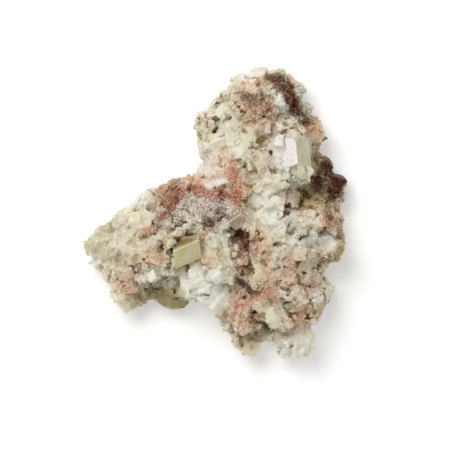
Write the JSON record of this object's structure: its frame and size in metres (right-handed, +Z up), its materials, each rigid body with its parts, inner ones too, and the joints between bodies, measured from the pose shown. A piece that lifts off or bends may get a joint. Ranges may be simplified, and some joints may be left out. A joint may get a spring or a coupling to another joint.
{
  "type": "calcite specimen",
  "caption": "Three-lobed plate of pale calcite: a crust of intergrown rhombs on a flat cut underside, with a honey-yellow rhomb and a glassy white one standing out.",
  "frame": {"origin": "middle of the specimen's box, on the flat cut that it rests on", "axes": "+Z up from the cut through the crust, +Y towards the top lobe, +X towards the right side, the left arm reaches to -X"},
  "size_m": [0.1072, 0.1174, 0.0397],
  "materials": {
    "calcite": "sugary, milky and slightly translucent, with glossy cleavage faces"
  },
  "bodies": {
    "root": {"calcite_cluster": "calcite"}
  },
  "joints": []
}
